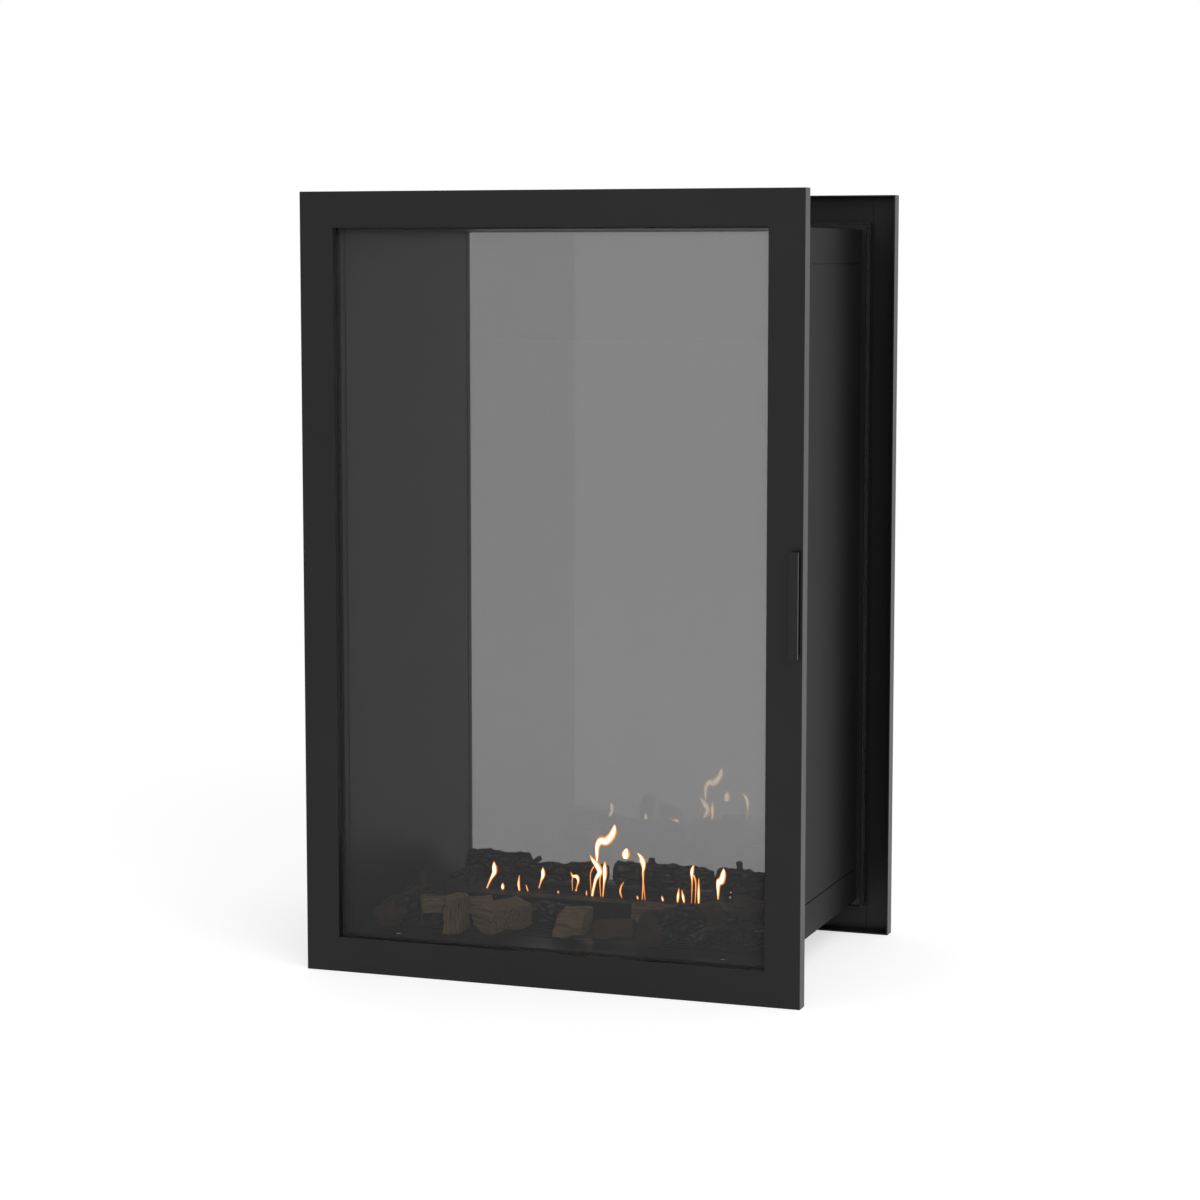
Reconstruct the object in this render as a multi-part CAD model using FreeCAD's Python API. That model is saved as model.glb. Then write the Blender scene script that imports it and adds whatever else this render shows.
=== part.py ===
import FreeCAD, Part
import math
import os

from FreeCAD import Vector

# Double-sided ethanol fireplace for building into a wall: a sheet-metal casing that is open at both ends,
# a hinged glazed door at the front, a fixed glazed frame at the rear, and a slotted ethanol burner
# among ceramic logs. Millimetres, +Z up, +Y from the door towards the rear frame, +X to the right of
# someone who faces the door. The origin is the middle of the casing's underside.

# Frames
FRAME_WIDTH = 662.0
FRAME_HEIGHT = 1000.0
FRAME_FACE = 45.5
FRAME_DEPTH = 21.0
FRAME_SHEET = 2.0
FRAME_BEND = 1.2
REVEAL_DEPTH = 10.0
BACK_GROOVE = 1.2
BACK_GROOVE_DEPTH = 1.0
BACK_GROOVE_INSET = 10.5
BACK_GROOVE_END = 5.0
OVERALL_DEPTH = 462.0

# Panes and what holds them
GLASS_THICKNESS = 4.0
GLASS_LAP = 10.0
TAPE_THICKNESS = 1.0
CLIP_SHEET = 1.5
CLIP_WIDTH = 20.0
CLIP_TIP = 5.0
CLIP_FOOT = 16.0
CLIP_GAP = 1.5
CLIP_END_GAP = 110.0
NUT_RADIUS = 4.0
NUT_HEIGHT = 3.5

# Casing
CASING_SHEET = 1.5
COLLAR_SHEET = 2.0
COLLAR_SETBACK = 18.0
COLLAR_BAND = 14.0
COLLAR_LIP = 6.0
COLLAR_CHAMFER = 1.0
CAP_SKIRT = 44.0
PANEL_SEAM = 1.8
SEAL_WIDTH = 5.0
SEAL_CLEARANCE = 0.3

# Air slots and anchor holes
SLOT_WIDTH = 4.0
SLOT_END_GAP = 39.0
SLOT_GAP = 20.0
SLOT_ROWS = 5
SLOT_GROUPS = 3
SLOT_PITCH = 12.5
SLOT_BURNER_GAP = 45.0
ANCHOR_RADIUS = 4.5
ANCHOR_SIDE_INSET = 65.5
ANCHOR_END_INSET = 9.0

# Rear frame brackets
BRACKET_SHEET = 2.0
BRACKET_WIDTH = 36.0
BRACKET_FLANGE = 20.0
BRACKET_STANDOFF = 3.0

# Door hinges
HINGE_INSET = 140.0
HINGE_BARREL = 3.5
HINGE_PIN = 2.0
HINGE_RUNNING = 0.3
HINGE_SIDE_GAP = 0.5
HINGE_WASHER_GAP = 0.3
HINGE_BARREL_HEIGHT = 22.0
HINGE_ARM_THICKNESS = 2.0
HINGE_LEAF_SHEET = 3.0
HINGE_LEAF_LENGTH = 46.0
HINGE_LEAF_HEIGHT = 60.0
HINGE_DOOR_SHEET = 2.5
HINGE_DOOR_HEIGHT = 48.0
HINGE_DOOR_FLANGE = 22.0
HINGE_HEAD_HEIGHT = 2.0
HINGE_NUT_SPACING = 24.0

# Door catches
CATCH_INSET = 250.0
CATCH_SHEET = 2.0
CATCH_HEIGHT = 36.0
CATCH_LEAF = 32.0
CATCH_REACH = 34.0
MAGNET_WIDTH = 18.0
MAGNET_HEIGHT = 30.0
STRIKE_SHEET = 1.5
STRIKE_MARGIN = 2.0
CATCH_CLEARANCE = 0.3

# Door handle
HANDLE_LENGTH = 130.0
HANDLE_WIDTH = 12.0
HANDLE_REACH = 16.0
HANDLE_WALL = 2.8
HANDLE_EDGE_INSET = 1.6
HANDLE_ROUND = 0.8
HANDLE_SCREW_SPACING = 90.0
HANDLE_SCREW_RADIUS = 2.0
HANDLE_SCREW_HEAD = 3.5
HANDLE_SCREW_HEAD_HEIGHT = 2.5
HANDLE_SCREW_CLEARANCE = 0.1

# Burner
BURNER_END_SHARE = 0.33
BURNER_DEPTH_SHARE = 0.238
BURNER_TANK_HEIGHT = 28.0
BURNER_SHEET = 1.5
BURNER_LID = 2.0
WOOL_HEIGHT = 20.0
WOOL_CLEARANCE = 0.5
SLIT_COUNT = 5
SLIT_PITCH = 11.4
SLIT_WIDTH = 4.5
SLIT_END_GAP = 30.0
REGULATOR_SHEET = 2.0
REGULATOR_END = 20.0
REGULATOR_MARGIN = 10.0
REGULATOR_CLEARANCE = 0.3
REGULATOR_TAB_WIDTH = 12.0
REGULATOR_TAB_HEIGHT = 12.0
REGULATOR_TAB_HOLE = 2.5
RUNNER_SHEET = 1.5
RUNNER_LEDGE = 5.0
RUNNER_DROP = 11.0

# Logs
LOG_SIDES = 14
LOG_RINGS = 7
BARK_OVAL = 0.07
BARK_RIDGE = 0.05
BARK_KNUCKLE = 0.05
BARK_KNUCKLE_TURNS = 9.0
SPLIT_ARC_STEPS = 7
HEART_WANDER = 0.05
HEART_WANDER_TURNS = 5.0
STUB_SIDES = 7
STUB_TAPER = 0.75
LOG_SEAT_GAP = 0.3
LOG_DROP = 60.0

# Places that follow from the sizes above
HALF_WIDTH = FRAME_WIDTH / 2
OPENING = HALF_WIDTH - FRAME_FACE
CASING_HEIGHT = FRAME_HEIGHT - 2 * FRAME_FACE
FRAME_FOOT = -FRAME_FACE
FRAME_HEAD = CASING_HEIGHT + FRAME_FACE
MIDDLE = CASING_HEIGHT / 2
FRONT = -OVERALL_DEPTH / 2
FRAME_BACK = FRONT + FRAME_DEPTH
FACE_BACK = FRONT + FRAME_SHEET
GLASS_FRONT = FRONT + REVEAL_DEPTH + TAPE_THICKNESS
GLASS_BACK = GLASS_FRONT + GLASS_THICKNESS
COLLAR_FRONT = FRONT + COLLAR_SETBACK
CASING_FRONT = COLLAR_FRONT + COLLAR_BAND
FLOOR = CASING_SHEET
HINGE_X = -(HALF_WIDTH - FRAME_SHEET - HINGE_SIDE_GAP - HINGE_BARREL)
WALL = OPENING - 2 * CASING_SHEET
LID_TOP = FLOOR + BURNER_TANK_HEIGHT + BURNER_LID
BURNER_LENGTH = 2 * WALL * (1 - BURNER_END_SHARE)
BURNER_LEFT = -BURNER_LENGTH / 2
BURNER_REAR = OVERALL_DEPTH * BURNER_DEPTH_SHARE / 2
BURNER_FRONT = -BURNER_REAR
SLIT_LENGTH = BURNER_LENGTH - 2 * SLIT_END_GAP
REGULATOR_LENGTH = SLIT_LENGTH + 2 * REGULATOR_END
REGULATOR_DEPTH = SLIT_COUNT * SLIT_PITCH + 2 * REGULATOR_MARGIN
REGULATOR_TRAVEL = SLIT_PITCH / 2
SLOT_LENGTH = (2 * (WALL - SLOT_END_GAP) - (SLOT_GROUPS - 1) * SLOT_GAP) / SLOT_GROUPS
SLOT_FIRST_ROW = BURNER_REAR + SLOT_BURNER_GAP
CLIP_REACH = OPENING - CLIP_END_GAP
CLIP_PLACES = (-CLIP_REACH, 0.0, CLIP_REACH)
BRACKET_PLACES = (-CLIP_REACH / 2, CLIP_REACH / 2)
HINGE_LEVELS = (HINGE_INSET, CASING_HEIGHT - HINGE_INSET)
CATCH_LEVELS = (CATCH_INSET, CASING_HEIGHT - CATCH_INSET)


# Shape helpers

def block(x0, x1, y0, y1, z0, z1):
    """A box between two corners."""
    return Part.makeBox(x1 - x0, y1 - y0, z1 - z0, Vector(x0, y0, z0))


def prism(points, sweep):
    """A closed outline of points, swept along a vector."""
    outline = Part.makePolygon(points + points[:1])
    return Part.Face(outline).extrude(sweep)


def round_bar(radius, foot, sweep):
    """A cylinder from a foot point along a vector."""
    return Part.makeCylinder(radius, sweep.Length, foot, sweep)


def ring_frame(reach_in, reach_out, y0, y1):
    """A flat rectangular ring around the opening; the reaches are measured outwards from its edge."""
    def plate(reach):
        return block(-OPENING - reach, OPENING + reach, y0, y1, -reach, CASING_HEIGHT + reach)
    return plate(reach_out).cut(plate(reach_in))


def to_left(shape):
    """The mirror image across the middle plane of the width."""
    return shape.mirror(Vector(0, 0, 0), Vector(1, 0, 0))


def to_rear(shape):
    """The mirror image across the middle plane of the depth."""
    return shape.mirror(Vector(0, 0, 0), Vector(0, 1, 0))


def to_top(shape):
    """The mirror image across the middle of the height."""
    return shape.mirror(Vector(0, 0, MIDDLE), Vector(0, 0, 1))


def save(node, *solids):
    """Write one node, as one solid or as a group of separate solids."""
    shape = solids[0] if len(solids) == 1 else Part.makeCompound(list(solids))
    shape.exportStep("parts/" + node + ".step")


def rounded(shape, radius, chosen):
    """Round the edges whose middle satisfies a test."""
    edges = [edge for edge in shape.Edges if chosen(edge.CenterOfMass)]
    return shape.makeFillet(radius, edges)


def slot(x, y, length, width, z0, z1):
    """A cutter for a punched slot that runs along X."""
    return block(x - length / 2, x + length / 2, y - width / 2, y + width / 2, z0, z1)


# Frame pieces, drawn at the front on the right or at the bottom

def on_front_rim(point):
    """True on the outer edges of the frame's front face."""
    at_front = abs(point.y - FRONT) < FRAME_BEND
    at_side = abs(point.x) > HALF_WIDTH - FRAME_BEND
    at_end = point.z < FRAME_FOOT + FRAME_BEND or point.z > FRAME_HEAD - FRAME_BEND
    return at_front and (at_side or at_end)


def frame_stile():
    """An upright of the frame: a folded tray with an outer rim, two closed ends and a shorter inner leg."""
    blank = block(OPENING, HALF_WIDTH, FRONT, FRAME_BACK, FRAME_FOOT, FRAME_HEAD)
    blank = rounded(blank, FRAME_BEND, on_front_rim)
    inner_foot = FRAME_FOOT + FRAME_SHEET
    inner_head = FRAME_HEAD - FRAME_SHEET
    leg = OPENING + FRAME_SHEET
    hollow = block(leg, HALF_WIDTH - FRAME_SHEET, FACE_BACK, FRAME_BACK, inner_foot, inner_head)
    behind_leg = block(OPENING, leg, FRONT + REVEAL_DEPTH, FRAME_BACK, inner_foot, inner_head)
    beside_rail = block(OPENING, leg, FACE_BACK, FRAME_BACK, inner_foot, -FRAME_SHEET)
    return blank.cut([hollow, behind_leg, beside_rail, to_top(beside_rail)])


def fixed_stile():
    """An upright of the fixed frame, with a groove down the back of its face."""
    side = OPENING + BACK_GROOVE_INSET
    groove = block(side, side + BACK_GROOVE, FACE_BACK - BACK_GROOVE_DEPTH, FACE_BACK,
                   FRAME_FOOT + BACK_GROOVE_END, FRAME_HEAD - BACK_GROOVE_END)
    return frame_stile().cut(groove)


def frame_rail():
    """A cross piece between the uprights, with the same folds."""
    blank = block(-OPENING, OPENING, FRONT, FRAME_BACK, FRAME_FOOT, 0)
    blank = rounded(blank, FRAME_BEND, on_front_rim)
    hollow = block(-OPENING, OPENING, FACE_BACK, FRAME_BACK, FRAME_FOOT + FRAME_SHEET, -FRAME_SHEET)
    behind_leg = block(-OPENING, OPENING, FRONT + REVEAL_DEPTH, FRAME_BACK, -FRAME_SHEET, 0)
    return blank.cut([hollow, behind_leg])


def pane():
    """A glass pane behind the inner legs of the frame."""
    half = OPENING + GLASS_LAP
    return block(-half, half, GLASS_FRONT, GLASS_BACK, -GLASS_LAP, CASING_HEIGHT + GLASS_LAP)


def pane_tape():
    """The tape between the inner legs and the pane."""
    return ring_frame(0, GLASS_LAP, FRONT + REVEAL_DEPTH, GLASS_FRONT)


# Glass clips and cap nuts, drawn in a plane: outwards from the opening's edge, and depth

CLIP_RISER = GLASS_LAP + CLIP_GAP
CLIP_NUT = CLIP_RISER + CLIP_SHEET + CLIP_FOOT / 2


def clip_outline():
    """The folded section of a clip: a foot on the frame, a riser past the pane's edge and a tip on the pane."""
    inner = CLIP_RISER
    outer = CLIP_RISER + CLIP_SHEET
    end = outer + CLIP_FOOT
    foot = FACE_BACK
    tip = GLASS_BACK
    return [(inner, foot), (end, foot), (end, foot + CLIP_SHEET), (outer, foot + CLIP_SHEET),
            (outer, tip + CLIP_SHEET), (inner - CLIP_TIP, tip + CLIP_SHEET), (inner - CLIP_TIP, tip),
            (inner, tip)]


def cap_nut(x, sheet, z):
    """A hexagonal cap nut over a stud of the frame, on a sheet that lies against the back of the face."""
    corners = []
    for corner in range(6):
        angle = math.radians(60 * corner)
        corners.append(Vector(x + NUT_RADIUS * math.cos(angle), FACE_BACK + sheet, z + NUT_RADIUS * math.sin(angle)))
    return prism(corners, Vector(0, NUT_HEIGHT, 0))


def glass_clips():
    """The clips along the top and bottom of a pane, and their cap nuts."""
    clips = []
    nuts = []
    for place in CLIP_PLACES:
        corners = [Vector(place - CLIP_WIDTH / 2, y, -u) for u, y in clip_outline()]
        clip = prism(corners, Vector(CLIP_WIDTH, 0, 0))
        nut = cap_nut(place, CLIP_SHEET, -CLIP_NUT)
        clips += [clip, to_top(clip)]
        nuts += [nut, to_top(nut)]
    return clips, nuts


# Casing

def vent_rows(z0, z1):
    """Rows of air slots in front of the burner and behind it."""
    cutters = []
    for row in range(SLOT_ROWS):
        y = SLOT_FIRST_ROW + row * SLOT_PITCH
        for group in range(SLOT_GROUPS):
            x = (group - (SLOT_GROUPS - 1) / 2) * (SLOT_LENGTH + SLOT_GAP)
            cutters += [slot(x, -y, SLOT_LENGTH, SLOT_WIDTH, z0, z1), slot(x, y, SLOT_LENGTH, SLOT_WIDTH, z0, z1)]
    return cutters


def tray():
    """A channel with upturned sides, as long as the casing, slotted for air."""
    inner = OPENING - CASING_SHEET
    points = [(-OPENING, 0), (OPENING, 0), (OPENING, CAP_SKIRT), (inner, CAP_SKIRT), (inner, CASING_SHEET),
              (-inner, CASING_SHEET), (-inner, CAP_SKIRT), (-OPENING, CAP_SKIRT)]
    corners = [Vector(x, CASING_FRONT, z) for x, z in points]
    return prism(corners, Vector(0, -2 * CASING_FRONT, 0)).cut(vent_rows(0, CASING_SHEET))


def base_tray():
    """The casing's floor, with four anchor holes for bolts into the plinth."""
    holes = []
    side = OPENING - ANCHOR_SIDE_INSET
    end = -CASING_FRONT - ANCHOR_END_INSET
    for x in (-side, side):
        for y in (-end, end):
            holes.append(round_bar(ANCHOR_RADIUS, Vector(x, y, 0), Vector(0, 0, CASING_SHEET)))
    return tray().cut(holes)


def side_panel():
    """A side of the casing: smooth inside, and rebated outside to lap behind the tray and the cap."""
    rebate = OPENING - CASING_SHEET
    low = CAP_SKIRT + PANEL_SEAM
    half = [(OPENING, low), (rebate, low), (rebate, CASING_SHEET), (WALL, CASING_SHEET)]
    points = half + [(x, CASING_HEIGHT - z) for x, z in reversed(half)]
    corners = [Vector(x, CASING_FRONT, z) for x, z in points]
    return prism(corners, Vector(0, -2 * CASING_FRONT, 0))


def collar():
    """The band at an end of the casing, with a lip turned out to carry the seal behind the pane's edge."""
    band = ring_frame(-COLLAR_SHEET, 0, COLLAR_FRONT, CASING_FRONT)
    lip = ring_frame(0, COLLAR_LIP, COLLAR_FRONT, COLLAR_FRONT + COLLAR_SHEET)

    def on_mouth(point):
        in_width = abs(point.x) < OPENING - COLLAR_SHEET / 2
        in_height = COLLAR_SHEET / 2 < point.z < CASING_HEIGHT - COLLAR_SHEET / 2
        return in_width and in_height and point.y < COLLAR_FRONT + COLLAR_CHAMFER
    shape = band.fuse(lip).removeSplitter()
    return shape.makeChamfer(COLLAR_CHAMFER, [edge for edge in shape.Edges if on_mouth(edge.CenterOfMass)])


def rope_seal():
    """The soft seal that lies on the collar's lip and faces the pane."""
    margin = (COLLAR_LIP - SEAL_WIDTH) / 2
    return ring_frame(margin, margin + SEAL_WIDTH, GLASS_BACK + SEAL_CLEARANCE, COLLAR_FRONT)


def rear_brackets():
    """Stepped brackets that carry the fixed frame on the collar, and their cap nuts, at the top and bottom."""
    sheet = BRACKET_SHEET
    heel = COLLAR_FRONT + COLLAR_SHEET
    arm = GLASS_LAP + BRACKET_STANDOFF
    end = arm + BRACKET_FLANGE
    toe = CASING_FRONT
    outline = [(0, toe), (0, heel), (arm, heel), (arm, FACE_BACK), (end, FACE_BACK), (end, FACE_BACK + sheet),
               (arm + sheet, FACE_BACK + sheet), (arm + sheet, heel + sheet), (sheet, heel + sheet), (sheet, toe)]
    brackets = []
    nuts = []
    for place in BRACKET_PLACES:
        corners = [Vector(place - BRACKET_WIDTH / 2, y, -u) for u, y in outline]
        bracket = prism(corners, Vector(BRACKET_WIDTH, 0, 0))
        nut = cap_nut(place, sheet, -(arm + sheet + end) / 2)
        brackets += [to_rear(bracket), to_rear(to_top(bracket))]
        nuts += [to_rear(nut), to_rear(to_top(nut))]
    return brackets, nuts


# Door hinges, catches and handle

def hinge_arm(level):
    """The fixed half of a hinge: a leaf on the casing's side and an arm that ends in a barrel."""
    foot = level - HINGE_BARREL_HEIGHT
    half = HINGE_ARM_THICKNESS / 2
    arm = block(HINGE_X, -OPENING, FRAME_BACK - half, FRAME_BACK + half, foot, level)
    leaf_foot = (foot + level - HINGE_LEAF_HEIGHT) / 2
    leaf = block(-OPENING - HINGE_LEAF_SHEET, -OPENING, FRAME_BACK - half, FRAME_BACK - half + HINGE_LEAF_LENGTH,
                 leaf_foot, leaf_foot + HINGE_LEAF_HEIGHT)
    axis = Vector(HINGE_X, FRAME_BACK, foot)
    barrel = round_bar(HINGE_BARREL, axis, Vector(0, 0, HINGE_BARREL_HEIGHT))
    bore = round_bar(HINGE_PIN, axis, Vector(0, 0, HINGE_BARREL_HEIGHT))
    return arm.fuse([leaf, barrel]).cut(bore).removeSplitter()


def hinge_pin(level):
    """A headed pin that stands in the fixed barrel and reaches up into the door's barrel."""
    foot = Vector(HINGE_X, FRAME_BACK, level - HINGE_BARREL_HEIGHT)
    head = round_bar(HINGE_BARREL, foot, Vector(0, 0, -HINGE_HEAD_HEIGHT))
    shank = round_bar(HINGE_PIN, foot, Vector(0, 0, 2 * HINGE_BARREL_HEIGHT))
    return head.fuse(shank).removeSplitter()


def hinge_door_leaf(level):
    """The moving half of a hinge: a barrel on an angle that lies in the upright's corner."""
    foot = level + HINGE_WASHER_GAP
    corner = -(HALF_WIDTH - FRAME_SHEET)
    head = foot + HINGE_DOOR_HEIGHT
    side = block(corner, corner + HINGE_DOOR_SHEET, FACE_BACK, FRAME_BACK, foot, head)
    flange = block(corner, corner + HINGE_DOOR_FLANGE, FACE_BACK, FACE_BACK + HINGE_DOOR_SHEET, foot, head)
    axis = Vector(HINGE_X, FRAME_BACK, foot)
    barrel = round_bar(HINGE_BARREL, axis, Vector(0, 0, HINGE_BARREL_HEIGHT))
    bore = round_bar(HINGE_PIN + HINGE_RUNNING, axis, Vector(0, 0, HINGE_DOOR_HEIGHT))
    return side.fuse([flange, barrel]).cut(bore).removeSplitter()


def hinge_nuts(level):
    """The cap nuts that hold a door leaf on the upright's face."""
    x = -(HALF_WIDTH - FRAME_SHEET) + (HINGE_DOOR_SHEET + HINGE_DOOR_FLANGE) / 2
    middle = level + HINGE_WASHER_GAP + HINGE_DOOR_HEIGHT / 2
    return [cap_nut(x, HINGE_DOOR_SHEET, middle + side * HINGE_NUT_SPACING / 2) for side in (-1, 1)]


def catch_bracket(level):
    """An angle on the casing's side that carries a magnet in the frame's hollow."""
    low = level - CATCH_HEIGHT / 2
    high = level + CATCH_HEIGHT / 2
    leaf = block(OPENING, OPENING + CATCH_SHEET, FRAME_BACK, FRAME_BACK + CATCH_LEAF, low, high)
    arm = block(OPENING, OPENING + CATCH_REACH, FRAME_BACK, FRAME_BACK + CATCH_SHEET, low, high)
    return leaf.fuse(arm).removeSplitter()


def catch_magnet(level):
    """The magnet block in front of a catch bracket."""
    x = OPENING + CATCH_REACH - MAGNET_WIDTH
    front = FACE_BACK + STRIKE_SHEET + CATCH_CLEARANCE
    return block(x, x + MAGNET_WIDTH, front, FRAME_BACK, level - MAGNET_HEIGHT / 2, level + MAGNET_HEIGHT / 2)


def strike_plate(level):
    """The steel plate inside the door that a magnet holds."""
    x = OPENING + CATCH_REACH - MAGNET_WIDTH
    half = MAGNET_HEIGHT / 2 + STRIKE_MARGIN
    return block(x - STRIKE_MARGIN, x + MAGNET_WIDTH + STRIKE_MARGIN, FACE_BACK, FACE_BACK + STRIKE_SHEET,
                 level - half, level + half)


HANDLE_OUTER = HALF_WIDTH - HANDLE_EDGE_INSET
HANDLE_INNER = HANDLE_OUTER - HANDLE_WIDTH


def handle_screw_feet():
    """Where the handle's screws pass through the upright's face."""
    x = (HANDLE_INNER + HANDLE_WALL + HANDLE_OUTER) / 2
    half = HANDLE_SCREW_SPACING / 2
    return [Vector(x, FACE_BACK, MIDDLE - half), Vector(x, FACE_BACK, MIDDLE + half)]


def handle_screw_holes(radius):
    """Cutters along the handle's screws, through the upright and the handle's base."""
    forwards = Vector(0, -(FRAME_SHEET + HANDLE_WALL), 0)
    return [round_bar(radius, foot, forwards) for foot in handle_screw_feet()]


def door_handle():
    """A channel-shaped edge pull, open towards the side of the door."""
    reach = FRONT - HANDLE_REACH
    low = MIDDLE - HANDLE_LENGTH / 2
    high = MIDDLE + HANDLE_LENGTH / 2
    blank = block(HANDLE_INNER, HANDLE_OUTER, reach, FRONT, low, high)

    def on_grip(point):
        return point.y < reach + HANDLE_ROUND and point.x < HANDLE_INNER + HANDLE_ROUND
    blank = rounded(blank, HANDLE_ROUND, on_grip)
    finger_gap = block(HANDLE_INNER + HANDLE_WALL, HANDLE_OUTER, reach + HANDLE_WALL, FRONT - HANDLE_WALL, low, high)
    return blank.cut([finger_gap] + handle_screw_holes(HANDLE_SCREW_RADIUS + HANDLE_SCREW_CLEARANCE))


def handle_screws():
    """The screws that hold the handle from inside the door."""
    screws = []
    for foot in handle_screw_feet():
        head = round_bar(HANDLE_SCREW_HEAD, foot, Vector(0, HANDLE_SCREW_HEAD_HEIGHT, 0))
        shank = round_bar(HANDLE_SCREW_RADIUS, foot, Vector(0, -(FRAME_SHEET + HANDLE_WALL), 0))
        screws.append(head.fuse(shank).removeSplitter())
    return screws


# Burner

TANK_TOP = FLOOR + BURNER_TANK_HEIGHT
REGULATOR_TOP = TANK_TOP - REGULATOR_CLEARANCE
REGULATOR_FOOT = REGULATOR_TOP - REGULATOR_SHEET
RUNNER_TOP = REGULATOR_FOOT - REGULATOR_CLEARANCE
TAB_X = (SLIT_LENGTH + REGULATOR_LENGTH) / 4


def burner_tank():
    """The open fuel tank on the casing's floor."""
    half = BURNER_LENGTH / 2
    outer = block(-half, half, BURNER_FRONT, BURNER_REAR, FLOOR, TANK_TOP)
    inner = block(-half + BURNER_SHEET, half - BURNER_SHEET, BURNER_FRONT + BURNER_SHEET,
                  BURNER_REAR - BURNER_SHEET, FLOOR + BURNER_SHEET, TANK_TOP)
    return outer.cut(inner)


def burner_wool():
    """The absorbent pack on the tank's floor."""
    gap = BURNER_SHEET + WOOL_CLEARANCE
    half = BURNER_LENGTH / 2 - gap - RUNNER_SHEET
    foot = FLOOR + BURNER_SHEET
    return block(-half, half, BURNER_FRONT + gap, BURNER_REAR - gap, foot, foot + WOOL_HEIGHT)


def slits(z0, z1):
    """Cutters for the flame slits."""
    first = -(SLIT_COUNT - 1) / 2 * SLIT_PITCH
    return [slot(0, first + index * SLIT_PITCH, SLIT_LENGTH, SLIT_WIDTH, z0, z1) for index in range(SLIT_COUNT)]


def burner_lid():
    """The slit plate on the tank, with a slot for the regulator's tab."""
    half = BURNER_LENGTH / 2
    plate = block(-half, half, BURNER_FRONT, BURNER_REAR, TANK_TOP, LID_TOP)
    margin = REGULATOR_TAB_WIDTH / 2 + REGULATOR_CLEARANCE
    reach = REGULATOR_SHEET / 2 + REGULATOR_CLEARANCE
    tab_slot = block(TAB_X - margin, TAB_X + margin, -reach, reach + REGULATOR_TRAVEL, TANK_TOP, LID_TOP)
    return plate.cut(slits(TANK_TOP, LID_TOP) + [tab_slot])


def regulator():
    """The slotted shutter under the lid, with a tab that stands up for a hook."""
    half = REGULATOR_LENGTH / 2
    side = REGULATOR_DEPTH / 2
    plate = block(-half, half, -side, side, REGULATOR_FOOT, REGULATOR_TOP).cut(slits(REGULATOR_FOOT, REGULATOR_TOP))
    wide = REGULATOR_TAB_WIDTH / 2
    thin = REGULATOR_SHEET / 2
    tab_top = LID_TOP + REGULATOR_TAB_HEIGHT
    tab = block(TAB_X - wide, TAB_X + wide, -thin, thin, REGULATOR_FOOT, tab_top)
    eye = round_bar(REGULATOR_TAB_HOLE, Vector(TAB_X, -thin, tab_top - wide), Vector(0, REGULATOR_SHEET, 0))
    return plate.fuse(tab).removeSplitter().cut(eye)


def regulator_runner():
    """An angle on the tank's end wall that the shutter slides on."""
    wall = BURNER_LENGTH / 2 - BURNER_SHEET
    side = REGULATOR_DEPTH / 2 + REGULATOR_TRAVEL
    ledge = block(REGULATOR_LENGTH / 2 - RUNNER_LEDGE, wall, -side, side, RUNNER_TOP - RUNNER_SHEET, RUNNER_TOP)
    leg = block(wall - RUNNER_SHEET, wall, -side, side, RUNNER_TOP - RUNNER_DROP, RUNNER_TOP)
    return ledge.fuse(leg).removeSplitter()


# Logs, drawn along X and then laid in place, with sizes in hundredths of the firebox's half width,
# or in smaller units where the floor before the burner is short

LOG_UNIT = min(WALL, 2 * (BURNER_FRONT - CASING_FRONT)) / 100


def bark_swell(angle, seed):
    """How far the bark stands out at an angle of the section: oval and ridged."""
    oval = BARK_OVAL * math.sin(2 * angle + seed)
    ridge = BARK_RIDGE * math.sin(3 * angle + 2 * seed)
    return 1 + oval + ridge


def girth(radius, taper, share, seed):
    """A log's radius at a share of its length: slimmer towards the far end, with knuckles."""
    knuckle = BARK_KNUCKLE * math.sin(BARK_KNUCKLE_TURNS * share + seed)
    return radius * (1 - (1 - taper) * share) * (1 + knuckle)


def loft_log(length, outline_at):
    """A log through evenly spaced outlines; outline_at gives the points at a share of the length."""
    rings = []
    for ring in range(LOG_RINGS):
        share = ring / (LOG_RINGS - 1)
        points = [Vector(length * (share - 0.5), y, z).multiply(LOG_UNIT) for y, z in outline_at(share)]
        rings.append(Part.makePolygon(points + points[:1]))
    loft = Part.makeLoft(rings, True, True)
    facets = []
    for face in loft.Faces:
        corners = [vertex.Point for vertex in face.OuterWire.OrderedVertexes]
        facets.append(Part.Face(Part.makePolygon(corners + corners[:1])))
    return Part.makeSolid(Part.makeShell(facets))


def bark_log(length, radius, seed, bend=0.0, taper=0.9):
    """A round log with its bark on, bent sideways and slimmer towards its far end."""
    def outline(share):
        size = girth(radius, taper, share, seed)
        sway = bend * 4 * share * (1 - share)
        points = []
        for side in range(LOG_SIDES):
            angle = 2 * math.pi * side / LOG_SIDES
            reach = size * bark_swell(angle, seed)
            points.append((sway + reach * math.cos(angle), reach * math.sin(angle)))
        return points
    return loft_log(length, outline)


def split_log(length, radius, spread, seed, taper=0.92):
    """A split log: two flat faces that meet along the heart, and bark below over an angle of spread degrees."""
    def outline(share):
        size = girth(radius, taper, share, seed)
        wander = HEART_WANDER * radius * math.sin(HEART_WANDER_TURNS * share + seed)
        points = []
        for step in range(SPLIT_ARC_STEPS + 1):
            turn = math.radians(spread) * (step / SPLIT_ARC_STEPS - 0.5)
            reach = size * bark_swell(turn, seed)
            points.append((wander + reach * math.sin(turn), wander - reach * math.cos(turn)))
        points.append((wander, wander))
        return points
    return loft_log(length, outline)


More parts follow.
